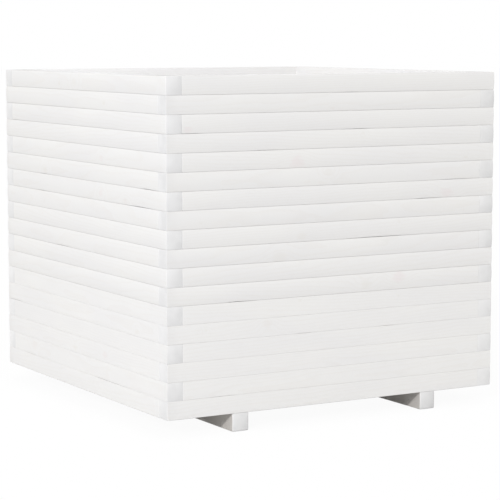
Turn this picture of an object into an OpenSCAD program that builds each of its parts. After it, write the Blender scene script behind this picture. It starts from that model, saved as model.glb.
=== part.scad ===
// A square timber planter of four like wall panels. A panel is a stack of boards on two upright
// battens. Its boards lie to the right and to the left in turn, so the panels interlock at the
// corners, where the battens of two panels are screwed together. A slatted floor lies on two
// skids, which lift the planter off the ground.
// The origin is the middle of the footprint on the ground. +Z is up, the front wall faces -Y and
// the left wall faces -X. Courses are counted from the rim down, and the left and right of a
// wall are seen from outside. Sizes are in millimetres.

/* [Overall] */
// Outside width, left to right
planter_w = 900; // [600:10:1200]
// Outside depth, front to back
planter_d = 900; // [600:10:1200]
// Courses of boards in each wall
courses = 18; // [8:1:18]

/* [Wall boards] */
// Height of a board, and so of a course
board_h = 42.75; // [40:0.25:60]
// Thickness of a board
board_t = 40.5; // [32:0.5:55]
// Rise of the crowned outer face above its edges
crown = 0.6; // [0.2:0.1:1.5]
// Radius of a board's long edges
arris_r = 1.5; // [0.5:0.25:3]

/* [Battens] */
// Width of a batten, along its wall
batten_w = 45; // [36:1:60]
// Thickness of a batten
batten_t = 28; // [27:0.5:36]
// Radius of a batten's long edges
batten_r = 2; // [0.5:0.25:4]
// Height of the rim above the top of a batten
batten_drop = 26; // [20:1:28]

/* [Skids] */
// Width of a skid
skid_w = 42.75; // [36:0.25:80]
// Height of a skid
skid_h = 42.75; // [32:0.25:60]
// Distance from the side of the planter to the outer face of a skid
skid_inset = 168; // [60:1:200]

/* [Floor] */
// Number of floor boards
floor_boards = 8; // [4:1:8]
// Thickness of a floor board
floor_t = 18; // [12:1:20]
// Gap between floor boards, for drainage
drain_gap = 8; // [4:1:12]
// Room between the floor and the walls and battens
floor_clear = 1.5; // [0.5:0.5:3]

/* [Wall screws] */
// Shank diameter
wall_screw_d = 5; // [4:0.5:6]
// Head diameter
wall_screw_head = 9.6; // [8:0.2:11]
// Depth that a screw reaches into a wall board
wall_screw_bite = 27; // [20:1:30]
// Least height of batten above its highest screw
screw_edge = 7.5; // [6:0.5:8]

/* [Corner screws] */
// Screws that join the two battens of a corner
corner_screws = 4; // [2:1:5]
// Shank diameter
corner_screw_d = 5; // [4:0.5:6]
// Head diameter
corner_screw_head = 9.6; // [8:0.2:11]
// Depth that a screw reaches into the second batten
corner_screw_bite = 25; // [15:1:25]

/* [Floor screws] */
// Shank diameter
floor_screw_d = 4; // [3:0.5:5]
// Head diameter
floor_screw_head = 7.8; // [6:0.2:9]
// Depth that a screw reaches into a skid
floor_screw_bite = 27; // [18:1:30]

/* [Skid screws] */
// Shank diameter
skid_screw_d = 6; // [5:0.5:8]
// Diameter of the flat head
skid_screw_head = 13; // [11:0.5:16]
// Thickness of the flat head
skid_screw_head_h = 3; // [2:0.5:4]
// Depth of the counterbore in the underside of a skid
skid_sink = 8; // [5:0.5:12]
// Depth that a screw reaches into a bottom board
skid_screw_bite = 27.5; // [20:0.5:35]

/* [Hidden] */
$fn = 48;
// Room round a screw in its hole, past its tip, and round a flat head in its counterbore
screw_room = 0.08;
tip_room = 1;
head_room = 1;
// Straight rim of a countersunk head, and length of a screw's point
head_rim = 0.4;
point_l = 7;
// How far a cut runs past the face that it opens through
overcut = 1;
WOOD = "#edecea";
STEEL = "#c9cbcc";

batten_top = skid_h + courses * board_h - batten_drop;
floor_top = skid_h + floor_t;
skid_x = planter_w / 2 - skid_inset - skid_w / 2;
skid_screw_y = (planter_d - board_t) / 2;
floor_l = planter_w - 2 * (board_t + floor_clear);
floor_d = planter_d - 2 * (board_t + floor_clear);
floor_w = (floor_d - (floor_boards - 1) * drain_gap) / floor_boards;
wall_screw_l = batten_t + wall_screw_bite;
corner_screw_l = batten_w + corner_screw_bite;
floor_screw_l = floor_t + floor_screw_bite;
skid_screw_l = skid_screw_head_h + skid_h - skid_sink + skid_screw_bite;
// The crowned face is an arc through the middle and the two edges of the board's height
crown_r = (pow(board_h / 2, 2) + pow(crown, 2)) / (2 * crown);

// Going round from the front, each wall is the one before it turned a quarter turn
WALLS = ["front", "right", "back", "left"];
SIDES = ["left", "right"];

// A node holds two or three boards of one wall that lie the same way, so every other course
function first_courses() = [for (k = [1:courses - 2]) if ((k - 1) % 4 < 2) k];
function courses_from(k) = [for (j = [k:2:courses]) if (j < k + 4 || k + 4 > courses - 2) j];
function boards_node(w, k) = str(WALLS[w], "_boards_", join(courses_from(k)));
function join(numbers, i = 0) =
    i == len(numbers) - 1 ? str(numbers[i]) : str(numbers[i], "_", join(numbers, i + 1));

// Length of a wall, and distance of its outer face from the middle of the planter
function wall_run(w) = w % 2 == 0 ? planter_w : planter_d;
function wall_out(w) = (w % 2 == 0 ? planter_d : planter_w) / 2;
// Underside of a course
function course_z(k) = skid_h + (courses - k) * board_h;
// Seen from outside, the boards of odd courses lie to the right and those of even courses to the left
function lie(k) = k % 2 == 1 ? 1 : -1;
// The screws of a course sit at its middle, clear of the floor and of the battens' top ends
function wall_screw_z(k) = max(
    floor_top + wall_screw_head / 2,
    min(course_z(k) + board_h / 2, batten_top - screw_edge)
);
// Middle of a wall's batten, along the wall. The left one lies in the corner, and the right one
// lies against the left one of the next wall.
function batten_x(w, side) =
    side * (wall_run(w) / 2 - board_t - batten_w / 2) - (side == 1 ? batten_t : 0);
function floor_board_y(i) = -floor_d / 2 + (i - 1) * (floor_w + drain_gap) + floor_w / 2;

// Puts a shape drawn in a wall's own frame on that wall: X along it, Y inwards from its outer face
module on_wall(w) {
    rotate([0, 0, 90 * w])
        translate([0, -wall_out(w), 0])
            children();
}

// A rectangle with rounded corners, drawn from its lower left corner
module rounded_rectangle(w, h, r) {
    translate([r, 0])
        square([w - 2 * r, h]);
    translate([0, r])
        square([w, h - 2 * r]);
    for (x = [r, w - r], y = [r, h - r])
        translate([x, y])
            circle(r);
}

// Section of a wall board, with its crowned outer face at x = 0.
// The two outer edge arcs run tangent into the crown.
module board_section() {
    reach = crown_r - arris_r;
    rise = board_h / 2 - arris_r;
    edge_x = crown_r - sqrt(pow(reach, 2) - pow(rise, 2));
    crown_half = rise * crown_r / reach;
    intersection() {
        translate([crown_r, board_h / 2])
            circle(crown_r, $fn = 720);
        translate([0, board_h / 2 - crown_half])
            square([board_t / 2, 2 * crown_half]);
    }
    translate([edge_x, 0])
        square([board_t - arris_r - edge_x, board_h]);
    translate([board_t / 2, arris_r])
        square([board_t / 2, board_h - 2 * arris_r]);
    for (x = [edge_x, board_t - arris_r], y = [arris_r, board_h - arris_r])
        translate([x, y])
            circle(arris_r);
}

// Screws point down -Z, with the top of the head at z = 0
module countersunk_screw(d, head_d, l) {
    cone_h = (head_d - d) / 2;
    rotate_extrude()
        polygon([
            [0, 0], [head_d / 2, 0], [head_d / 2, -head_rim],
            [d / 2, -head_rim - cone_h], [d / 2, point_l - l], [0, -l]
        ]);
}

module countersunk_bore(d, head_d, l) {
    cone_h = (head_d - d) / 2;
    bore_r = d / 2 + screw_room;
    sink_r = head_d / 2 + screw_room;
    rotate_extrude()
        polygon([
            [0, overcut], [sink_r, overcut], [sink_r, -head_rim],
            [bore_r, -head_rim - cone_h], [bore_r, -l - tip_room], [0, -l - tip_room]
        ]);
}

module flat_head_screw(d, head_d, head_h, l) {
    rotate_extrude()
        polygon([
            [0, 0], [head_d / 2, 0], [head_d / 2, -head_h],
            [d / 2, -head_h], [d / 2, point_l - l], [0, -l]
        ]);
}

module wall_screw() {
    countersunk_screw(wall_screw_d, wall_screw_head, wall_screw_l);
}

module wall_screw_bore() {
    countersunk_bore(wall_screw_d, wall_screw_head, wall_screw_l);
}

module corner_screw() {
    countersunk_screw(corner_screw_d, corner_screw_head, corner_screw_l);
}

module corner_screw_bore() {
    countersunk_bore(corner_screw_d, corner_screw_head, corner_screw_l);
}

module floor_screw() {
    countersunk_screw(floor_screw_d, floor_screw_head, floor_screw_l);
}

module floor_screw_bore() {
    countersunk_bore(floor_screw_d, floor_screw_head, floor_screw_l);
}

module skid_screw() {
    flat_head_screw(skid_screw_d, skid_screw_head, skid_screw_head_h, skid_screw_l);
}

// The shank's hole, and the counterbore that the head sits at the bottom of
module skid_screw_bore() {
    translate([0, 0, -skid_screw_l - tip_room])
        cylinder(h = skid_screw_l + tip_room, d = skid_screw_d + 2 * screw_room);
    translate([0, 0, -skid_screw_head_h])
        cylinder(h = skid_sink + overcut, d = skid_screw_head + 2 * head_room);
}

// A wall's two screws of one course, driven outwards through its battens
module at_wall_screws(w, k) {
    on_wall(w)
        for (side = [-1, 1])
            translate([batten_x(w, side), board_t + batten_t, wall_screw_z(k)])
                rotate([-90, 0, 0])
                    children();
}

// Screws along the wall, at joints between courses, through its right batten and into the left
// batten of the next wall
module at_corner_screws(w) {
    on_wall(w)
        for (i = [1:corner_screws])
            translate([
                batten_x(w, 1) - batten_w / 2,
                board_t + batten_t / 2,
                course_z(round(i * courses / (corner_screws + 1)))
            ])
                rotate([0, -90, 0])
                    children();
}

// Two screws across the width of a floor board at each skid, driven down
module at_floor_screws(i) {
    for (side = [-1, 1], across = [-1, 1])
        translate([side * skid_x, floor_board_y(i) + across * floor_w / 4, floor_top])
            children();
}

// One screw at each end of each skid, driven up into the bottom front and back boards
module at_skid_screws() {
    for (side = [-1, 1], end = [-1, 1])
        translate([side * skid_x, end * skid_screw_y, skid_sink - skid_screw_head_h])
            rotate([180, 0, 0])
                children();
}

module wall_board(w, k) {
    color(WOOD)
        difference() {
            on_wall(w)
                translate([lie(k) * board_t / 2, 0, course_z(k)])
                    rotate([90, 0, 90])
                        linear_extrude(wall_run(w) - board_t, center = true)
                            board_section();
            at_wall_screws(w, k)
                wall_screw_bore();
            if (k == courses && w % 2 == 0)
                at_skid_screws()
                    skid_screw_bore();
        }
}

module wall_boards(w, first) {
    for (k = courses_from(first))
        wall_board(w, k);
}

// Space that a batten takes up, with some room round it
module batten_space(w, side, room, z, h) {
    on_wall(w)
        translate([batten_x(w, side) - batten_w / 2 - room, board_t - room, z])
            cube([batten_w + 2 * room, batten_t + 2 * room, h]);
}

module batten(w, side) {
    color(WOOD)
        difference() {
            on_wall(w)
                translate([batten_x(w, side) - batten_w / 2, board_t, skid_h])
                    linear_extrude(batten_top - skid_h)
                        rounded_rectangle(batten_w, batten_t, batten_r);
            for (k = [1:courses])
                at_wall_screws(w, k)
                    wall_screw_bore();
            at_corner_screws(side == 1 ? w : (w + 3) % 4)
                corner_screw_bore();
        }
}

// A length of the wall timber laid flat. Its ends are flush with the front and back walls.
module skid(side) {
    color(WOOD)
        difference() {
            translate([side * skid_x - skid_w / 2, planter_d / 2, 0])
                rotate([90, 0, 0])
                    linear_extrude(planter_d)
                        rounded_rectangle(skid_w, skid_h, arris_r);
            for (i = [1:floor_boards])
                at_floor_screws(i)
                    floor_screw_bore();
            at_skid_screws()
                skid_screw_bore();
        }
}

// A board across both skids, notched where it meets the battens
module floor_board(i) {
    color(WOOD)
        difference() {
            translate([-floor_l / 2, floor_board_y(i) - floor_w / 2, skid_h])
                cube([floor_l, floor_w, floor_t]);
            for (w = [0:3], side = [-1, 1])
                batten_space(w, side, floor_clear, skid_h - overcut, floor_t + 2 * overcut);
            at_floor_screws(i)
                floor_screw_bore();
        }
}

module wall_screws(w) {
    color(STEEL)
        for (k = [1:courses])
            at_wall_screws(w, k)
                wall_screw();
}

module corner_screws() {
    color(STEEL)
        for (w = [0:3])
            at_corner_screws(w)
                corner_screw();
}

module floor_screws() {
    color(STEEL)
        for (i = [1:floor_boards])
            at_floor_screws(i)
                floor_screw();
}

module skid_screws() {
    color(STEEL)
        at_skid_screws()
            skid_screw();
}

for (w = [0:3], k = first_courses())
    wall_boards(w, k);
for (w = [0:3], e = [0, 1])
    batten(w, 2 * e - 1);
skid(-1);  // skid_left
skid(1);  // skid_right
for (i = [1:floor_boards])
    floor_board(i);
for (w = [0:3])
    wall_screws(w);
corner_screws();
floor_screws();
skid_screws();
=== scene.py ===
import math
import random

import bmesh
import bpy
from mathutils import Matrix, Vector, noise


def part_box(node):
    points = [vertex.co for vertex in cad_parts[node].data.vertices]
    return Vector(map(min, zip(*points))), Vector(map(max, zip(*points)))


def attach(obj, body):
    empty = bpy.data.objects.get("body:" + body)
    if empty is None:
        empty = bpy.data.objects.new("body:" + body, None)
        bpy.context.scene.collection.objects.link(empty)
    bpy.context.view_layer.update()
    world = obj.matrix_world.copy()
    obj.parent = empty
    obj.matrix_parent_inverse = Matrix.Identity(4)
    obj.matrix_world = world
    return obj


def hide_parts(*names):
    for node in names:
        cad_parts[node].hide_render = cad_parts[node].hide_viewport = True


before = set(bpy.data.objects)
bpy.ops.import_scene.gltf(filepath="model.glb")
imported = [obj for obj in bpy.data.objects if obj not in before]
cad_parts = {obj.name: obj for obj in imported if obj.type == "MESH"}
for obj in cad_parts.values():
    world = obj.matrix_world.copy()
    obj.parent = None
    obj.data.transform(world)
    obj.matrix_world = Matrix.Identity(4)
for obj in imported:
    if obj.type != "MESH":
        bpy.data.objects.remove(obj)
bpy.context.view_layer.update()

# Wall boards: 72 lengths of planed pine, 18 to a wall, spray painted white and screwed to battens
# from inside. They lie to the right and to the left in turn, so that the walls interlock at the
# corners, with the sawn end of one board and the face of the next showing by turns.

MM = 0.001
WALLS = ("front", "right", "back", "left")
COURSES = 18
# The group of front boards 1 and 3 is three courses high, and a batten stands against its back
group_low, group_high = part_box("front_boards_1_3")
batten_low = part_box("front_batten_left")[0]
BOARD_H = (group_high.z - group_low.z) / 3
BOARD_T = batten_low.y - group_low.y
RIM = group_high.z
HALF = -group_low.y
BOARD_L = 2 * HALF - BOARD_T

# The upper courses are crowned more than the lower ones, which come from flatter stock
CROWNED_COURSES = 12
CROWN_UPPER = 1.0 * MM
CROWN_LOWER = 0.3 * MM
ARRIS_UPPER = 1.1 * MM
ARRIS_LOWER = 0.8 * MM
ARRIS_SEGMENTS = 3
# An arris with the line where it meets the face, and one without it, in arrises
WHOLE_ARRIS = 1.01
BARE_ARRIS = 0.99
END_DOME = 1.2 * MM
# How far a face wanders in and out, and how often in a metre, each board in its own way
WANDER = 0.15 * MM
WANDER_PER_M = 4
WANDER_SEEDS = 100
WANDER_APART = 7.3
# How finely a timber is cut up along its length, through it and up its face
CUTS = (30 * MM, 8 * MM, 6 * MM)
# Edges that turn by more than this stay sharp, and faces that look along the timber by more than
# this share belong to an end
SHARP = math.radians(50)
LOOKS_ALONG = 0.5

# How much grey is mixed into the paint, most of it as painted shade. At 0 the paint is full, and
# for each 1 a share of the grey shows. An upper board's face has painted shade, lighter above its
# middle and darker below, as if lit from above. Under each board, in the joint below it, is
# painted shade, under the last course the most of all.
SHADE_MIDDLE = 0.46
THIN_LOWER = 0.22
SHADE_UNDER_UPPER = 4.2
SHADE_UNDER_LOWER = 1.6
SHADE_BOTTOM = 10
# Painted shade that dims the highlight along the rim, the most along the left wall
RIM_SHADE = {"front": 1.3, "right": 1.7, "back": 1.8, "left": 3.5}
# The sawn ends: a greyer, thinner coat and painted shade, on the upper courses and on the lower
# ones, and how much more painted shade downwards
END_COAT_AND_SHADE = {
    "front": (0.65, 0.45, 0.2),
    "right": (0.75, 0.35, 0.7),
    "back": (0.4, 0.15, 0.4),
    "left": (0.6, 0.65, 0.7),
}
# How much more painted shade to the right
END_SHADE_RIGHT = 0.6
# Painted shade in the inner corners, and how far it extends
CORNER_SHADE = 1.2
CORNER_REACH = 60 * MM
# The share of the grey that shows for each 1, on a face and on a sawn end
FACE_SHOWS = 0.095
END_SHOWS = 0.2
# The grey mixed in for painted shade and a thin coat, on a face and on a sawn end
FACE_GREY_AND_SHADE = "#A09E9B"
END_GREY_AND_SHADE = "#9D9EA0"

# Each board is cut from its own place in the trunk: how far along it in metres, how far behind
# the face and to the side of it the pith is, in mm, and how much the pith leans
TRUNK_L = 60
PITH_BEHIND = (15, 70)
PITH_ASIDE = 45
PITH_LEAN = 0.03
RING_WIDTH = 4.0 * MM

# Two knots to a board, so many times as long as high. One that is drawn at random lies within
# these shares of the board's length and height from its middle, with a radius of up to so many
# mm. The resin in a knot is brown to pink.
KNOT_LAYERS = ("knot_1", "knot_2")
KNOT_LENGTH = 1.4
KNOT_ALONG = 0.48
KNOT_UP = 0.35
PIN_KNOT = 2.5
BROWN_RESIN = "#DAD4C7"
PINK_RESIN = "#E2C2C7"

# Where a board's lower edge lifts off the next course, in mm: wall, course, place along the wall,
# half length and gap
OPEN_JOINTS = [
    ("front", 1, 35, 40, 0.5),
    ("front", 3, -392, 30, 0.6),
    ("front", 3, 55, 40, 0.6),
    ("front", 4, -194, 35, 0.7),
    ("front", 6, 335, 35, 0.7),
    ("front", 7, 253, 35, 1.0),
    ("front", 9, 112, 105, 1.0),
    ("front", 12, -268, 40, 1.1),
    ("front", 14, -91, 30, 0.5),
    ("front", 14, 141, 35, 0.5),
    ("front", 17, -304, 50, 0.5),
    ("left", 3, -385, 35, 0.6),
    ("left", 6, 357, 40, 1.1),
    ("left", 6, -206, 30, 0.8),
    ("left", 7, 325, 75, 1.0),
    ("left", 7, -225, 35, 0.8),
    ("left", 10, -108, 45, 0.9),
    ("left", 14, -400, 50, 1.0),
    ("left", 17, -308, 35, 0.6),
    ("left", 17, 150, 110, 0.6),
]

# The clearest knots, in mm: wall, course, place along the wall, height from the middle of the
# board, radius, and how red the resin in it is
KNOTS = [
    ("front", 2, -15, -15, 4, 0.3),
    ("front", 3, -395, -12, 7, 0.8),
    ("front", 4, 69, 12, 4, 0.0),
    ("front", 5, -112, -7, 14, 1.0),
    ("front", 5, 367, -11, 4, 0.0),
    ("front", 6, -25, 10, 8, 0.0),
    ("front", 7, 312, -9, 13, 0.9),
    ("front", 9, -98, -7, 9, 0.0),
    ("front", 9, 173, 12, 3, 0.0),
    ("front", 10, -157, -10, 13, 0.0),
    ("front", 12, 174, 9, 12, 1.0),
    ("front", 12, 80, -4, 11, 0.0),
    ("front", 13, -103, 14, 4, 0.0),
    ("front", 14, -189, 8, 9, 0.2),
    ("front", 14, -351, 6, 3, 0.0),
    ("left", 1, -25, -2, 10, 0.0),
    ("left", 1, -115, -6, 5, 0.0),
    ("left", 2, 136, -3, 5, 0.0),
    ("left", 5, 119, -6, 7, 0.7),
    ("left", 6, -207, -11, 9, 0.0),
    ("left", 7, 245, -14, 8, 0.3),
    ("left", 7, 117, -3, 9, 0.6),
    ("left", 14, 302, -9, 7, 0.0),
    ("left", 16, 132, -4, 9, 0.6),
    ("left", 16, -38, -9, 8, 0.0),
    ("left", 17, -285, 8, 10, 0.3),
    ("right", 4, -205, 6, 12, 0.0),
    ("right", 9, 260, -8, 9, 0.6),
    ("right", 15, 35, -3, 13, 0.0),
    ("back", 3, 150, 9, 10, 0.0),
    ("back", 8, -330, -6, 13, 0.5),
    ("back", 14, 70, 4, 9, 0.0),
]


def plane_timber(length, thickness, height, arris, square_top=False):
    """A planed length of timber along X, its outer face to -Y, its edges eased, cut up finely.

    A square top keeps the edges along the top sharp.
    """
    bm = bmesh.new()
    bmesh.ops.create_cube(bm, size=1.0)
    bmesh.ops.scale(bm, vec=(length, thickness, height), verts=bm.verts)
    eased = [
        edge for edge in bm.edges if not (square_top and min(v.co.z for v in edge.verts) > 0)
    ]
    bmesh.ops.bevel(
        bm, geom=eased, offset=arris, offset_type="OFFSET", affect="EDGES",
        segments=ARRIS_SEGMENTS, profile=0.5, material=-1,
    )
    for axis, size in enumerate((length, thickness, height)):
        count = round(size / CUTS[axis])
        normal = Vector((0, 0, 0))
        normal[axis] = 1
        for i in range(1, count):
            bmesh.ops.bisect_plane(
                bm, geom=bm.verts[:] + bm.edges[:] + bm.faces[:],
                plane_co=normal * (i / count - 0.5) * size, plane_no=normal,
            )
    return bm


def work_timber(bm, size, arris, crown, domed_ends, seed):
    """Crowns the outer face, sands the open ends to a dome and lets the face wander a little."""
    length, thickness, height = size
    for v in bm.verts:
        x, y, z = v.co
        across = 2 * y / thickness
        up = 2 * z / height
        if y < arris * WHOLE_ARRIS - thickness / 2:
            drift = noise.noise(Vector((x * WANDER_PER_M, seed * WANDER_APART, 0))) + 1
            v.co.y += crown * up * up + WANDER / 2 * drift
        for end in domed_ends:
            if end * x > length / 2 - arris * WHOLE_ARRIS:
                v.co.x -= end * END_DOME * (across * across + up * up) / 2


def lift_edge(bm, height, arris, middle, half, gap):
    """Lifts the lower edge of a board over a stretch, as a bowed board does."""
    for v in bm.verts:
        reach = abs(v.co.x - middle) / half
        if v.co.z < arris * WHOLE_ARRIS - height / 2 and reach < 1:
            v.co.z += gap * (1 - reach * reach) ** 2


def grey_and_shade_ends(bm, size, arris, ends, base, right, down):
    """Greys the sawn ends for their thinner coat, with painted shade growing to the lower right."""
    length, thickness, height = size
    layer = bm.verts.layers.float.get("coat_and_shade") or bm.verts.layers.float.new("coat_and_shade")
    for v in bm.verts:
        for end in ends:
            if end * v.co.x > length / 2 - arris - END_DOME:
                v[layer] = base + right * end * v.co.y / thickness - down * v.co.z / height


def draw_knots(rng, known, length, height):
    """The knots of a board: the known ones first, and small ones at random for the rest."""
    knots = list(known)
    while len(knots) < len(KNOT_LAYERS):
        knots.append((
            rng.uniform(-KNOT_ALONG, KNOT_ALONG) * length,
            rng.uniform(-KNOT_UP, KNOT_UP) * height,
            rng.uniform(0, PIN_KNOT) * MM,
            0.0,
        ))
    return knots


def lay_grain(bm, rng, knots):
    """Writes on each point where it lies in its tree, and where the knots are and how red."""
    grain = bm.verts.layers.float_vector.new("grain")
    places = [bm.verts.layers.float_vector.new(name) for name in KNOT_LAYERS]
    start = rng.uniform(0, TRUNK_L)
    behind = rng.uniform(*PITH_BEHIND) * MM
    pith = Vector((0, behind, rng.uniform(-PITH_ASIDE, PITH_ASIDE) * MM))
    lean = Vector((0, rng.uniform(-PITH_LEAN, PITH_LEAN), rng.uniform(-PITH_LEAN, PITH_LEAN)))
    for v in bm.verts:
        v[grain] = v.co - pith + lean * v.co.x + Vector((start, 0, 0))
        for layer, (x, z, radius, red) in zip(places, knots):
            v[layer] = Vector(((v.co.x - x) / radius / KNOT_LENGTH, (v.co.z - z) / radius, red))


def mark_ends(bm):
    """Gives the second material to the sawn ends of a timber that lies along X."""
    bm.normal_update()
    for face in bm.faces:
        face.material_index = 1 if abs(face.normal.x) > LOOKS_ALONG else 0
        face.smooth = True


def place_piece(bm, name, matrix, materials, nodes):
    """Makes a piece of a mesh, in its place on the planter."""
    bmesh.ops.transform(bm, matrix=matrix, verts=bm.verts)
    mesh = bpy.data.meshes.new(name)
    bm.to_mesh(mesh)
    bm.free()
    mesh.set_sharp_from_angle(angle=SHARP)
    piece = bpy.data.objects.new(name, mesh)
    bpy.context.scene.collection.objects.link(piece)
    for material in materials:
        mesh.materials.append(material)
    even = piece.modifiers.new("even_normals", "WEIGHTED_NORMAL")
    even.keep_sharp = True
    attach(piece, "root")
    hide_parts(*nodes)


def colour(code):
    """Linear RGBA of an sRGB hex colour."""
    parts = [int(code[i:i + 2], 16) / 255 for i in (1, 3, 5)]
    return [c / 12.92 if c <= 0.04045 else ((c + 0.055) / 1.055) ** 2.4 for c in parts] + [1.0]


def clear_tree(owner):
    """The node tree of a material or a world, with nothing in it yet."""
    owner.use_nodes = True
    owner.node_tree.nodes.clear()
    return owner.node_tree


def add(tree, kind, inputs=(), **settings):
    """Adds a shader node. inputs gives a socket, by name or number, a value or what it reads.

    A colour Mix node has its share at 0, its two colours at 6 and 7, and its result at output 2.
    """
    made = tree.nodes.new("ShaderNode" + kind)
    for setting, value in settings.items():
        setattr(made, setting, value)
    for socket, value in dict(inputs).items():
        if isinstance(value, bpy.types.Node):
            value = value.outputs[0]
        if isinstance(value, bpy.types.NodeSocket):
            tree.links.new(value, made.inputs[socket])
        else:
            made.inputs[socket].default_value = value
    return made


def count_rings(tree, grain):
    """How many growth rings lie between the pith and a point."""
    section = add(tree, "VectorMath", {0: grain, 1: (0, 1, 1)}, operation="MULTIPLY")
    out = add(tree, "VectorMath", {0: section}, operation="LENGTH").outputs["Value"]
    return add(tree, "Math", {0: out, 1: 1 / RING_WIDTH}, operation="MULTIPLY")


# Pattern sizes, as waves in a metre along a board, through it and up its face. The fibres wander
# over some 150 mm. They are 0.5 mm wide, and are drawn 3 mm wide and 100 mm long so that they show.
# The outline of a knot wavers over some 17 mm along the board and 8 mm up its face.
DRIFT_WAVES = (7, 25, 25)
FIBRE_WAVES = (10, 330, 330)
RAGGED_WAVES = (60, 120, 120)
# In radii from the middle of a knot: how ragged it is, where its mark starts and is full, and
# where the rings start to bend and bend fully
KNOT_RAGGED = 1.6
KNOT_MARK = (2.2, 1.2)
KNOT_BEND = (3.5, 0.8)
# In rings: how far a knot and the drift of the fibres push them aside
KNOT_PUSH = 1.6
DRIFT_PUSH = 2.2
# In a ring, from 0 to 1: where the hard late wood starts and is full
LATE_WOOD = (0.45, 0.95)


def find_knots(tree, grain):
    """At a point, for each knot: how far its ragged mark shows, its bend in the rings, its red."""
    close = add(tree, "VectorMath", {0: grain, 1: RAGGED_WAVES}, operation="MULTIPLY")
    ragged = add(tree, "TexNoise", {"Vector": close, "Scale": 1.0, "Detail": 3.0})
    marks = []
    bends = []
    reds = []
    for place in KNOT_LAYERS:
        where = add(tree, "Attribute", attribute_name=place).outputs["Vector"]
        red = add(tree, "SeparateXYZ", {0: where}).outputs["Z"]
        flat = add(tree, "VectorMath", {0: where, 1: (1, 1, 0)}, operation="MULTIPLY")
        away = add(tree, "VectorMath", {0: flat}, operation="LENGTH").outputs["Value"]
        uneven = add(tree, "Math", {0: ragged, 1: KNOT_RAGGED, 2: away},
                     operation="MULTIPLY_ADD")
        mark = add(tree, "MapRange", {"Value": uneven, "From Min": KNOT_MARK[0],
                                      "From Max": KNOT_MARK[1]}, interpolation_type="SMOOTHSTEP")
        bend = add(tree, "MapRange", {"Value": away, "From Min": KNOT_BEND[0],
                                      "From Max": KNOT_BEND[1]}, interpolation_type="SMOOTHSTEP")
        marks.append(mark)
        bends.append(bend)
        reds.append(red)
    return marks, bends, reds


def painted_pine(name, paint, timber, ring_tint, knot_tint, relief):
    """Planed pine under white paint: the growth rings and knots show faintly through it."""
    material = bpy.data.materials.new(name)
    tree = clear_tree(material)
    grain = add(tree, "Attribute", attribute_name="grain").outputs["Vector"]
    slow = add(tree, "VectorMath", {0: grain, 1: DRIFT_WAVES}, operation="MULTIPLY")
    drift = add(tree, "TexNoise", {"Vector": slow, "Scale": 1.0, "Detail": 2.0})
    thin = add(tree, "VectorMath", {0: grain, 1: FIBRE_WAVES}, operation="MULTIPLY")
    fibre = add(tree, "TexNoise", {"Vector": thin, "Scale": 1.0, "Detail": 3.0, "Roughness": 0.6})
    marks, bends, reds = find_knots(tree, grain)
    # Growth rings round the pith, pushed aside by the drift of the fibres and by the knots
    rings = count_rings(tree, grain)
    rings = add(tree, "Math", {0: drift, 1: DRIFT_PUSH, 2: rings}, operation="MULTIPLY_ADD")
    bend = add(tree, "Math", {0: bends[0], 1: bends[1]}, operation="ADD")
    rings = add(tree, "Math", {0: bend, 1: KNOT_PUSH, 2: rings}, operation="MULTIPLY_ADD")
    rings = add(tree, "Math", {0: rings}, operation="FRACT")
    late = add(tree, "MapRange", {"Value": rings, "From Min": LATE_WOOD[0],
                                  "From Max": LATE_WOOD[1]}, interpolation_type="SMOOTHSTEP")
    # The paint's tone wanders over some 240 mm along the board
    tone = add(tree, "TexNoise", {"Vector": slow, "Scale": 0.6, "Detail": 1.0})
    tone = add(tree, "MapRange", {"Value": tone, "From Min": 0.35, "From Max": 0.65})
    coat = add(tree, "Mix", {0: tone, 6: colour(paint[0]), 7: colour(paint[1])},
               data_type="RGBA").outputs[2]
    # Painted shade, and a thin coat, mix a grey in
    coat_and_shade = add(tree, "Attribute", attribute_name="coat_and_shade").outputs["Fac"]
    coat_and_shade = add(tree, "Math", {0: coat_and_shade, 1: FACE_SHOWS}, operation="MULTIPLY")
    coat = add(tree, "Mix", {0: coat_and_shade, 6: coat, 7: colour(FACE_GREY_AND_SHADE)},
               data_type="RGBA").outputs[2]
    # It is thinner on the hard late wood, and resin bleeds through it over the knots
    show = add(tree, "Math", {0: late, 1: fibre}, operation="MULTIPLY")
    show = add(tree, "Math", {0: show, 1: ring_tint}, operation="MULTIPLY")
    coat = add(tree, "Mix", {0: show, 6: coat, 7: colour(timber)}, data_type="RGBA").outputs[2]
    for mark, red in zip(marks, reds):
        resin = add(tree, "Mix", {0: red, 6: colour(BROWN_RESIN), 7: colour(PINK_RESIN)},
                    data_type="RGBA").outputs[2]
        show = add(tree, "Math", {0: mark, 1: knot_tint}, operation="MULTIPLY")
        coat = add(tree, "Mix", {0: show, 6: coat, 7: resin}, data_type="RGBA").outputs[2]
    # Relief: raised late wood and fibres, and knots that stand a little proud
    proud = add(tree, "Math", {0: marks[0], 1: marks[1]}, operation="MAXIMUM")
    height = add(tree, "Math", {0: late, 1: 0.5, 2: fibre}, operation="MULTIPLY_ADD")
    height = add(tree, "Math", {0: proud, 1: 0.6, 2: height}, operation="MULTIPLY_ADD")
    bump = add(tree, "Bump", {"Height": height, "Strength": 1.0, "Distance": relief})
    gloss = add(tree, "MapRange", {"Value": fibre, "To Min": 0.5, "To Max": 0.68})
    shader = add(tree, "BsdfPrincipled", {"Base Color": coat, "Roughness": gloss, "Normal": bump,
                                          "IOR": 1.5})
    add(tree, "OutputMaterial", {"Surface": shader})
    return material


# Blots some 30 mm across, and pores of 1.7 mm, coarser than real ones so that they show
BLOTS_PER_M = 32.0
PORES_PER_M = 600.0
END_RING_TINT = 0.08
END_RELIEF = 0.2 * MM


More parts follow.
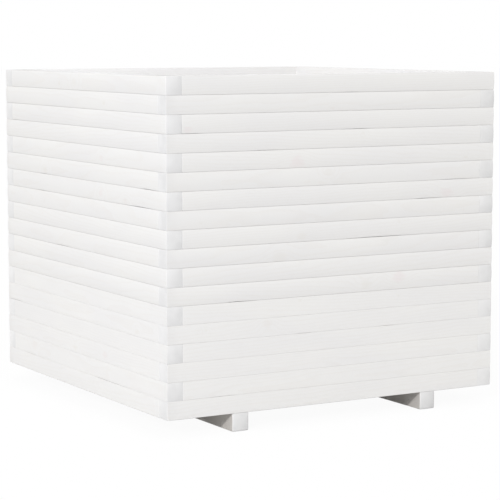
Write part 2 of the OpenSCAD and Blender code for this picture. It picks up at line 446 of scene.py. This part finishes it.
def painted_end_grain(name, paint, timber):
    """Sawn end grain drinks the paint in: greyer and more matt, in blotches, with rings."""
    material = bpy.data.materials.new(name)
    tree = clear_tree(material)
    grain = add(tree, "Attribute", attribute_name="grain").outputs["Vector"]
    blots = add(tree, "TexNoise", {"Vector": grain, "Scale": BLOTS_PER_M, "Detail": 1.0})
    blots = add(tree, "MapRange", {"Value": blots, "From Min": 0.35, "From Max": 0.65},
                interpolation_type="SMOOTHSTEP")
    rings = add(tree, "Math", {0: count_rings(tree, grain)}, operation="FRACT")
    pores = add(tree, "TexNoise", {"Vector": grain, "Scale": PORES_PER_M, "Detail": 2.0})
    coat = add(tree, "Mix", {0: blots, 6: colour(paint[0]), 7: colour(paint[1])},
               data_type="RGBA").outputs[2]
    # The sawn end's thinner coat and painted shade mix a grey in
    coat_and_shade = add(tree, "Attribute", attribute_name="coat_and_shade").outputs["Fac"]
    coat_and_shade = add(tree, "Math", {0: coat_and_shade, 1: END_SHOWS}, operation="MULTIPLY")
    coat = add(tree, "Mix", {0: coat_and_shade, 6: coat, 7: colour(END_GREY_AND_SHADE)},
               data_type="RGBA").outputs[2]
    show = add(tree, "Math", {0: rings, 1: END_RING_TINT}, operation="MULTIPLY")
    coat = add(tree, "Mix", {0: show, 6: coat, 7: colour(timber)}, data_type="RGBA").outputs[2]
    height = add(tree, "Math", {0: rings, 1: 0.4, 2: pores}, operation="MULTIPLY_ADD")
    bump = add(tree, "Bump", {"Height": height, "Strength": 1.0, "Distance": END_RELIEF})
    shader = add(tree, "BsdfPrincipled", {"Base Color": coat, "Roughness": 0.8, "Normal": bump,
                                          "IOR": 1.5})
    add(tree, "OutputMaterial", {"Surface": shader})
    return material


face_paint = painted_pine("painted_pine", paint=("#EDECEA", "#EBEAE9"), timber="#D3C5B3",
                          ring_tint=0.1, knot_tint=0.13, relief=0.1 * MM)
end_paint = painted_end_grain("painted_end_grain", paint=("#EFEFEF", "#EAEAEA"),
                              timber="#D8C8B4")

# Blanks for the boards of the upper courses and of the lower ones
blanks = {
    True: plane_timber(BOARD_L, BOARD_T, BOARD_H, ARRIS_UPPER),
    False: plane_timber(BOARD_L, BOARD_T, BOARD_H, ARRIS_LOWER),
}


def grey_and_shade_board(bm, wall, course, arris, open_end):
    """Painted shade down a board's face, under it, on the rim and in inner corners; a grey end."""
    upper = course <= CROWNED_COURSES
    layer = bm.verts.layers.float.new("coat_and_shade")
    inner_corners = (open_end * (BOARD_L / 2 - BOARD_T), -open_end * BOARD_L / 2)
    for v in bm.verts:
        # Painted shade under each board, the most under the last course
        under = v.co.z < arris * BARE_ARRIS - BOARD_H / 2
        if under and course == COURSES:
            v[layer] = SHADE_BOTTOM
        # Painted shade along the rim's top arris
        elif course == 1 and v.co.z > BOARD_H / 2 - arris * BARE_ARRIS:
            v[layer] = RIM_SHADE[wall]
        elif under:
            v[layer] = SHADE_UNDER_UPPER if upper else SHADE_UNDER_LOWER
        else:
            # Painted shade: lighter above and darker below on an upper board's face
            v[layer] = SHADE_MIDDLE - v.co.z / BOARD_H if upper else THIN_LOWER
        # Painted shade in the inner corners
        if v.co.y > 0:
            away = min(abs(v.co.x - corner) for corner in inner_corners)
            v[layer] += CORNER_SHADE * max(0, 1 - away / CORNER_REACH)
    end_upper, end_lower, down = END_COAT_AND_SHADE[wall]
    end = end_upper if upper else end_lower
    grey_and_shade_ends(bm, (BOARD_L, BOARD_T, BOARD_H), arris, (open_end,), end, END_SHADE_RIGHT, down)


def wall_board(wall, course, node):
    """One board, worked in its own frame and then turned into its wall."""
    # Each board has its own seed
    rng = random.Random(100 * WALLS.index(wall) + course)
    upper = course <= CROWNED_COURSES
    arris = ARRIS_UPPER if upper else ARRIS_LOWER
    crown = CROWN_UPPER if upper else CROWN_LOWER
    open_end = 1 if course % 2 else -1
    shift = open_end * BOARD_T / 2
    bm = blanks[upper].copy()
    work_timber(bm, (BOARD_L, BOARD_T, BOARD_H), arris, crown, (open_end,),
                rng.uniform(0, WANDER_SEEDS))
    for joint in OPEN_JOINTS:
        if joint[:2] == (wall, course):
            middle, half, gap = (value * MM for value in joint[2:])
            lift_edge(bm, BOARD_H, arris, middle - shift, half, gap)
    known = [
        (knot[2] * MM - shift, knot[3] * MM, knot[4] * MM, knot[5])
        for knot in KNOTS if knot[:2] == (wall, course)
    ]
    lay_grain(bm, rng, draw_knots(rng, known, BOARD_L, BOARD_H))
    grey_and_shade_board(bm, wall, course, arris, open_end)
    mark_ends(bm)
    middle_z = RIM - (course - 0.5) * BOARD_H
    turn = Matrix.Rotation(math.pi / 2 * WALLS.index(wall), 4, "Z")
    place = turn @ Matrix.Translation((shift, BOARD_T / 2 - HALF, middle_z))
    place_piece(bm, f"{wall}_board_{course:02d}", place, (face_paint, end_paint), [node])


for node in sorted(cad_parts):
    if "_boards_" in node:
        wall, numbers = node.split("_boards_")
        for number in numbers.split("_"):
            wall_board(wall, int(number), node)
for blank in blanks.values():
    blank.free()


# Battens: two to a wall, ripped from the same pine, eased along their edges and painted. The
# boards of a wall are screwed to them from inside, and their tops stop short of the rim.

UPRIGHT = Matrix.Rotation(-math.pi / 2, 4, "Y")
# How thin the coat of the battens' sawn ends is
THIN_BATTEN_ENDS = 3
# Points this close are one point, and faces that turn by less than this are one face
WELD = 0.01 * MM
FLAT = math.radians(0.5)


def copy_timber(node, turn):
    """A CAD piece's own shape with its bores, merged and turned to lie along X in its own frame."""
    low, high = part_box(node)
    place = Matrix.Translation((low + high) / 2) @ turn
    bm = bmesh.new()
    bm.from_mesh(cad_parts[node].data)
    bmesh.ops.remove_doubles(bm, verts=bm.verts, dist=WELD)
    bmesh.ops.dissolve_limit(bm, angle_limit=FLAT, verts=bm.verts, edges=bm.edges)
    bmesh.ops.transform(bm, matrix=place.inverted(), verts=bm.verts)
    return bm, place, high - low


def season(bm, seed, length, height):
    """Gives a timber its grain, its knots and its end grain."""
    rng = random.Random(seed)
    lay_grain(bm, rng, draw_knots(rng, [], length, height))
    mark_ends(bm)


inner_paint = painted_pine("thinly_painted_pine", paint=("#ECEAE6", "#E9E8E6"),
                           timber="#D8C8B4", ring_tint=0.22, knot_tint=0.25, relief=0.15 * MM)

for wall in WALLS:
    for side in ("left", "right"):
        node = f"{wall}_batten_{side}"
        bm, place, size = copy_timber(node, UPRIGHT)
        grey_and_shade_ends(bm, (size.z, size.y, size.x), 0, (-1, 1), THIN_BATTEN_ENDS, 0, 0)
        season(bm, node, size.z, size.x)
        place_piece(bm, node, place, (inner_paint, end_paint), [node])


# Screws: zinc-plated steel with a six-lobe drive. Two hold each wall board to its battens, four
# join the battens of each corner, and others hold the floor and the skids.

# Twelve sides give the recess its six lobes
SCREW_SIDES = 12
WALL_SHANK = 5 * MM
# The drive recess: its depth, its share of the head's width, and how far in its waists come
RECESS_DEPTH = 2.2 * MM
RECESS_SHARE = 0.55
LOBE_SHARE = 0.72
POINT_L = 7 * MM
HEAD_RIM = 0.4 * MM
# Zinc clouds over some 2.5 mm
CLOUDS_PER_M = 400.0


def split_solids(bm):
    """The points of each separate solid in a mesh."""
    left = set(bm.verts)
    solids = []
    for first in bm.verts:
        if first not in left:
            continue
        left.remove(first)
        group = [first]
        for vert in group:
            for edge in vert.link_edges:
                other = edge.other_vert(vert)
                if other in left:
                    left.remove(other)
                    group.append(other)
        solids.append(group)
    return solids


def find_screws(node):
    """Head centre, direction, length and head width of each screw in a CAD node."""
    bm = bmesh.new()
    bm.from_mesh(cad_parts[node].data)
    bmesh.ops.remove_doubles(bm, verts=bm.verts, dist=WELD)
    found = []
    for group in split_solids(bm):
        low = Vector([min(v.co[i] for v in group) for i in range(3)])
        high = Vector([max(v.co[i] for v in group) for i in range(3)])
        size = high - low
        axis = max(range(3), key=lambda i: size[i])
        middle = (low + high) / 2
        across = [i for i in range(3) if i != axis]
        widest = max(group, key=lambda v: sum(abs(v.co[i] - middle[i]) for i in across))
        head_high = widest.co[axis] > middle[axis]
        head = middle.copy()
        head[axis] = high[axis] if head_high else low[axis]
        points = Vector((0, 0, 0))
        points[axis] = -1 if head_high else 1
        found.append((head, points, size[axis], size[across[0]]))
    bm.free()
    return found


def turn_screw(length, head, shank, cone):
    """Revolves a screw that points down, and pulls every other corner of its recess in."""
    recess = head / 2 * RECESS_SHARE
    profile = [
        (0, -RECESS_DEPTH), (recess, -RECESS_DEPTH), (recess, 0), (head / 2, 0),
        (head / 2, -HEAD_RIM), (shank / 2, -HEAD_RIM - cone), (shank / 2, POINT_L - length),
        (0, -length),
    ]
    bm = bmesh.new()
    verts = [bm.verts.new((r, 0, z)) for r, z in profile]
    edges = [bm.edges.new(pair) for pair in zip(verts, verts[1:])]
    bmesh.ops.spin(
        bm, geom=verts + edges, cent=(0, 0, 0), axis=(0, 0, 1), angle=2 * math.pi,
        steps=SCREW_SIDES, use_merge=True,
    )
    bmesh.ops.remove_doubles(bm, verts=bm.verts, dist=WELD / 10)
    for v in bm.verts:
        corner = round(math.atan2(v.co.y, v.co.x) / (2 * math.pi / SCREW_SIDES))
        if abs(v.co.xy.length - recess) < WELD and corner % 2:
            v.co.xy *= LOBE_SHARE
    bmesh.ops.recalc_face_normals(bm, faces=bm.faces)
    return bm


def zinc_plate():
    """Bright zinc on steel: a pale, slightly blue metal with faint cloudy patches."""
    material = bpy.data.materials.new("zinc_plated_steel")
    tree = clear_tree(material)
    spot = add(tree, "TexCoord").outputs["Object"]
    cloud = add(tree, "TexNoise", {"Vector": spot, "Scale": CLOUDS_PER_M, "Detail": 2.0})
    coat = add(tree, "Mix", {0: cloud, 6: colour("#C2C6C9"), 7: colour("#D6D8D8")},
               data_type="RGBA").outputs[2]
    gloss = add(tree, "MapRange", {"Value": cloud, "To Min": 0.25, "To Max": 0.45})
    shader = add(tree, "BsdfPrincipled", {"Base Color": coat, "Metallic": 1.0,
                                          "Roughness": gloss})
    add(tree, "OutputMaterial", {"Surface": shader})
    return material


zinc = zinc_plate()


def drive_screws(node, shank, cone=None):
    """Puts a turned screw in the place of each screw of a CAD node, joined as one piece.

    The cone under a countersunk head slopes by 45 degrees. A flat head gives its own.
    """
    bm = bmesh.new()
    template = bpy.data.meshes.new("screw")
    screws = find_screws(node)
    head, length = screws[0][3], screws[0][2]
    turned = turn_screw(length, head, shank, cone or (head - shank) / 2)
    turned.to_mesh(template)
    turned.free()
    for centre, points, _, _ in screws:
        before = len(bm.verts)
        bm.from_mesh(template)
        bm.verts.ensure_lookup_table()
        turn = points.to_track_quat("-Z", "Y").to_matrix().to_4x4()
        bmesh.ops.transform(bm, matrix=Matrix.Translation(centre) @ turn, verts=bm.verts[before:])
    bpy.data.meshes.remove(template)
    for face in bm.faces:
        face.smooth = True
    place_piece(bm, node, Matrix.Identity(4), [zinc], [node])


for wall in WALLS:
    drive_screws(f"{wall}_wall_screws", WALL_SHANK)
drive_screws("corner_screws", WALL_SHANK)


# Skids: two lengths of the wall timber laid flat, flush with the front and back walls. A screw
# at each end, sunk in a counterbore, goes up into the bottom board.

SKID_ARRIS = 3 * MM
# The grey of a skid's sawn ends, a thinner coat with painted shade on it, and how much more
# painted shade to the right and downwards
SKID_END_COAT_AND_SHADE = {"skid_left": 0.8, "skid_right": 1.2}
SKID_END_SHADE_RIGHT = 1.0
SKID_END_SHADE_DOWN = 0.8
BORE_D = 15 * MM
BORE_DEPTH = 8 * MM
BORE_SIDES = 32
SKID_SHANK = 6 * MM
SKID_HEAD_CONE = 0.1 * MM
ALONG_Y = Matrix.Rotation(math.pi / 2, 4, "Z")


def cut_away(bm, tool):
    """Cuts the tool's shape out of a piece, and returns what is left."""
    objects = []
    for shape in (bm, tool):
        mesh = bpy.data.meshes.new("cut")
        shape.to_mesh(mesh)
        shape.free()
        objects.append(bpy.data.objects.new("cut", mesh))
        bpy.context.scene.collection.objects.link(objects[-1])
    cut = objects[0].modifiers.new("cut", "BOOLEAN")
    cut.object = objects[1]
    cut.operation = "DIFFERENCE"
    cut.solver = "EXACT"
    rest = bmesh.new()
    rest.from_object(objects[0], bpy.context.evaluated_depsgraph_get())
    for piece in objects:
        mesh = piece.data
        bpy.data.objects.remove(piece)
        bpy.data.meshes.remove(mesh)
    return rest


skid_paint = painted_pine("once_painted_pine", paint=("#D0CCC7", "#CBC7C3"), timber="#C9B49C",
                          ring_tint=0.2, knot_tint=0.25, relief=0.1 * MM)

skid_screws = find_screws("skid_screws")
for node in ("skid_left", "skid_right"):
    low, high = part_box(node)
    size = (high.y - low.y, high.x - low.x, high.z - low.z)
    place = Matrix.Translation((low + high) / 2) @ ALONG_Y
    bm = plane_timber(*size, SKID_ARRIS, square_top=True)
    work_timber(bm, size, SKID_ARRIS, 0, (-1, 1), len(node))
    for head, _, _, _ in skid_screws:
        if low.x < head.x < high.x:
            drill = bmesh.new()
            bmesh.ops.create_cone(
                drill, cap_ends=True, segments=BORE_SIDES, radius1=BORE_D / 2,
                radius2=BORE_D / 2, depth=2 * BORE_DEPTH,
            )
            spot = place.inverted() @ Vector((head.x, head.y, 0))
            bmesh.ops.translate(drill, vec=spot, verts=drill.verts)
            bm = cut_away(bm, drill)
    # Grey sawn ends, with painted shade to the lower right
    grey_and_shade_ends(bm, size, SKID_ARRIS, (-1, 1), SKID_END_COAT_AND_SHADE[node], SKID_END_SHADE_RIGHT,
              SKID_END_SHADE_DOWN)
    season(bm, node, size[0], size[2])
    place_piece(bm, node, place, (skid_paint, end_paint), [node])
drive_screws("skid_screws", SKID_SHANK, SKID_HEAD_CONE)


# Floor: eight thinner boards of painted pine, screwed across the skids with gaps for drainage.
# The first and the last are notched round the battens.

FLOOR_SHANK = 4 * MM
FLOOR_EASE = 0.8 * MM
FLOOR_EASE_SEGMENTS = 2
# Only long square edges are eased, and not the rims of the bores
EASED_FROM_L = 12 * MM
EASED_FROM_ANGLE = math.radians(80)

floor_nodes = sorted(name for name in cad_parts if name.startswith("floor_board_"))
for node in floor_nodes:
    bm, place, size = copy_timber(node, Matrix.Identity(4))
    bm.normal_update()
    corners = [
        edge for edge in bm.edges
        if edge.calc_length() > EASED_FROM_L and len(edge.link_faces) == 2
        and edge.calc_face_angle() > EASED_FROM_ANGLE
    ]
    bmesh.ops.bevel(
        bm, geom=corners, offset=FLOOR_EASE, offset_type="OFFSET", affect="EDGES",
        segments=FLOOR_EASE_SEGMENTS, profile=0.5, material=-1, clamp_overlap=True,
    )
    season(bm, node, size.x, size.y)
    place_piece(bm, node, place, (inner_paint, end_paint), [node])
drive_screws("floor_screws", FLOOR_SHANK)


# Stage: a plain matt floor, so wide that its edges are out of sight. It looks white and keeps
# the planter's soft shadow, and throws light up at the planter as a pale grey ground does.

FLOOR_REACH = 40.0
# How much of the floor's white is its own and takes no shadow
FLOOR_GLOW = 0.95


def seen_by_eye(tree):
    """1 for the rays that show a surface to the camera, in a mirror or through glass."""
    path = add(tree, "LightPath")
    seen = add(tree, "Math", {0: path.outputs["Is Camera Ray"],
                              1: path.outputs["Is Glossy Ray"]}, operation="MAXIMUM")
    return add(tree, "Math", {0: seen, 1: path.outputs["Is Transmission Ray"]},
               operation="MAXIMUM")


floor_bm = bmesh.new()
bmesh.ops.create_grid(floor_bm, x_segments=1, y_segments=1, size=FLOOR_REACH)
floor_mesh = bpy.data.meshes.new("studio_floor")
floor_bm.to_mesh(floor_mesh)
floor_bm.free()
floor = bpy.data.objects.new("studio_floor", floor_mesh)
bpy.context.scene.collection.objects.link(floor)
floor_paint = bpy.data.materials.new("studio_floor_paint")
tree = clear_tree(floor_paint)
seen = seen_by_eye(tree)
lit = add(tree, "BsdfDiffuse", {"Color": colour("#FFFFFF")})
glow = add(tree, "Emission", {"Color": colour("#FFFFFF"), "Strength": 1.0})
white = add(tree, "MixShader", {0: FLOOR_GLOW, 1: lit, 2: glow})
bounce = add(tree, "BsdfDiffuse", {"Color": colour("#D4D4D4")})
both = add(tree, "MixShader", {0: seen, 1: bounce, 2: white})
add(tree, "OutputMaterial", {"Surface": both})
floor_mesh.materials.append(floor_paint)


# Light: a key lamp from the front left, a softbox at the left, a small one above the left wall
# that is turned to the far corner, and an even white room.

KEY_AZIMUTH = math.radians(50)
KEY_HEIGHT = math.radians(26.5)
KEY_WIDTH = math.radians(4)
KEY_STRENGTH = 1.35
ROOM_STRENGTH = 0.755


def hang_softbox(name, size, tint, power, place, target):
    """Hangs a square softbox in its place, turned to a target. The camera doesn't see it."""
    light = bpy.data.lights.new(name, "AREA")
    light.shape = "SQUARE"
    light.size = size
    light.color = colour(tint)[:3]
    light.energy = power
    lamp = bpy.data.objects.new(name, light)
    lamp.location = place
    lamp.visible_camera = False
    aim = Vector(target) - lamp.location
    lamp.rotation_euler = aim.to_track_quat("-Z", "Y").to_euler()
    bpy.context.scene.collection.objects.link(lamp)


towards_key = Vector((
    -math.sin(KEY_AZIMUTH) * math.cos(KEY_HEIGHT),
    -math.cos(KEY_AZIMUTH) * math.cos(KEY_HEIGHT),
    math.sin(KEY_HEIGHT),
))
key = bpy.data.lights.new("key_lamp", "SUN")
key.energy = KEY_STRENGTH
key.angle = KEY_WIDTH
key.color = colour("#FFFEFC")[:3]
key_lamp = bpy.data.objects.new("key_lamp", key)
key_lamp.rotation_euler = (-towards_key).to_track_quat("-Z", "Y").to_euler()
bpy.context.scene.collection.objects.link(key_lamp)
hang_softbox("softbox", size=1.2, tint="#E8EEFF", power=9.5,
             place=(-2.4, -1.9, 1.2), target=(0, 0, 0.4))
hang_softbox("overhead_softbox", size=0.3, tint="#EAEEF9", power=2.15,
             place=(-0.4, -0.2, 1.3), target=(HALF, HALF, RIM))

world = bpy.data.worlds.new("studio")
bpy.context.scene.world = world
tree = clear_tree(world)
seen = seen_by_eye(tree)
room = add(tree, "Background", {"Color": colour("#FFFFFF"), "Strength": ROOM_STRENGTH})
backdrop = add(tree, "Background", {"Color": colour("#FFFFFF"), "Strength": 1.0})
both = add(tree, "MixShader", {0: seen, 1: room, 2: backdrop})
add(tree, "OutputWorld", {"Surface": both})


# Camera: a long lens 4.8 m away and 90 mm above the rim, turned a little down towards the front
# left corner, so that a narrow strip of the inside shows past the rim.

CAMERA_PLACE = (-2.3865, -4.1708, 0.9035)
# Its tilt up from straight down, and its turn away from straight at the front wall
CAMERA_TILT = math.radians(83.532)
CAMERA_TURN = math.radians(-30.024)

camera = bpy.data.cameras.new("camera")
camera.sensor_width = 36
camera.lens = 137.1
camera_object = bpy.data.objects.new("camera", camera)
camera_object.location = CAMERA_PLACE
camera_object.rotation_euler = (CAMERA_TILT, 0, CAMERA_TURN)
bpy.context.scene.collection.objects.link(camera_object)
bpy.context.scene.camera = camera_object
bpy.context.scene.view_settings.view_transform = "Standard"
